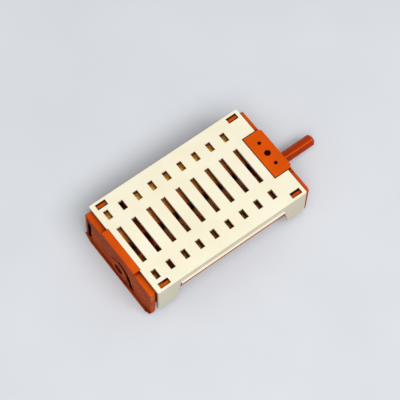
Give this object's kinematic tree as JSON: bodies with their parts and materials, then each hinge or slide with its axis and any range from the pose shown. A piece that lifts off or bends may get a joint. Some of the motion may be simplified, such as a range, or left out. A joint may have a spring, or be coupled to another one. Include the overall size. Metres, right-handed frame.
{
  "type": "oven selector switch",
  "caption": "Rotary cam selector switch for an oven: an orange base with a row of contact chambers, a slotted cream cover, push-on tabs and a D spindle.",
  "frame": {"origin": "on the shaft axis, in the front mounting plane, midway between the two fixing holes", "axes": "+X along the spindle towards the knob, +Z from the shaft to the slotted cover, +Y across the row"},
  "size_m": [0.1169, 0.0566, 0.0258],
  "materials": {
    "base_orange": "moulded, slightly speckled",
    "cap_orange": "moulded, satin",
    "cover_cream": "moulded, satin",
    "camshaft_brown": "moulded, satin gloss",
    "terminal_brass": "rolled sheet",
    "blade_bronze": "rolled spring sheet",
    "rivet_brass": "headed",
    "contact_silver": "silver contact buttons, dull",
    "spring_steel": "spring strip"
  },
  "bodies": {
    "housing": {"base": "base_orange", "cover": "cover_cream", "detent_cap": "cap_orange", "detent_spring": "spring_steel", "blade_1": "blade_bronze", "blade_3": "blade_bronze", "blade_4": "blade_bronze", "blade_5": "blade_bronze", "blade_6": "blade_bronze", "blade_7": "blade_bronze", "blade_8": "blade_bronze", "blade_9": "blade_bronze", "blade_terminal_1": "terminal_brass", "blade_terminal_3": "terminal_brass", "blade_terminal_4": "terminal_brass", "blade_terminal_5": "terminal_brass", "blade_terminal_6": "terminal_brass", "blade_terminal_7": "terminal_brass", "blade_terminal_8": "terminal_brass", "blade_terminal_9": "terminal_brass", "fixed_terminal_1": "terminal_brass", "fixed_terminal_3": "terminal_brass", "fixed_terminal_4": "terminal_brass", "fixed_terminal_5": "terminal_brass", "fixed_terminal_6": "terminal_brass", "fixed_terminal_7": "terminal_brass", "fixed_terminal_8": "terminal_brass", "fixed_terminal_9": "terminal_brass", "blade_rivets": "rivet_brass", "moving_contacts": "rivet_brass", "fixed_contacts": "contact_silver"},
    "shaft": {"camshaft": "camshaft_brown"}
  },
  "joints": [
    {"name": "shaft_turn", "type": "hinge", "parent": "housing", "child": "shaft", "pos_m": [0, 0, 0], "axis": [1, 0, 0], "continuous": true, "deforming": ["detent_spring", "blade_1", "blade_3", "blade_4", "blade_5", "blade_6", "blade_7", "blade_8", "blade_9"]}
  ]
}
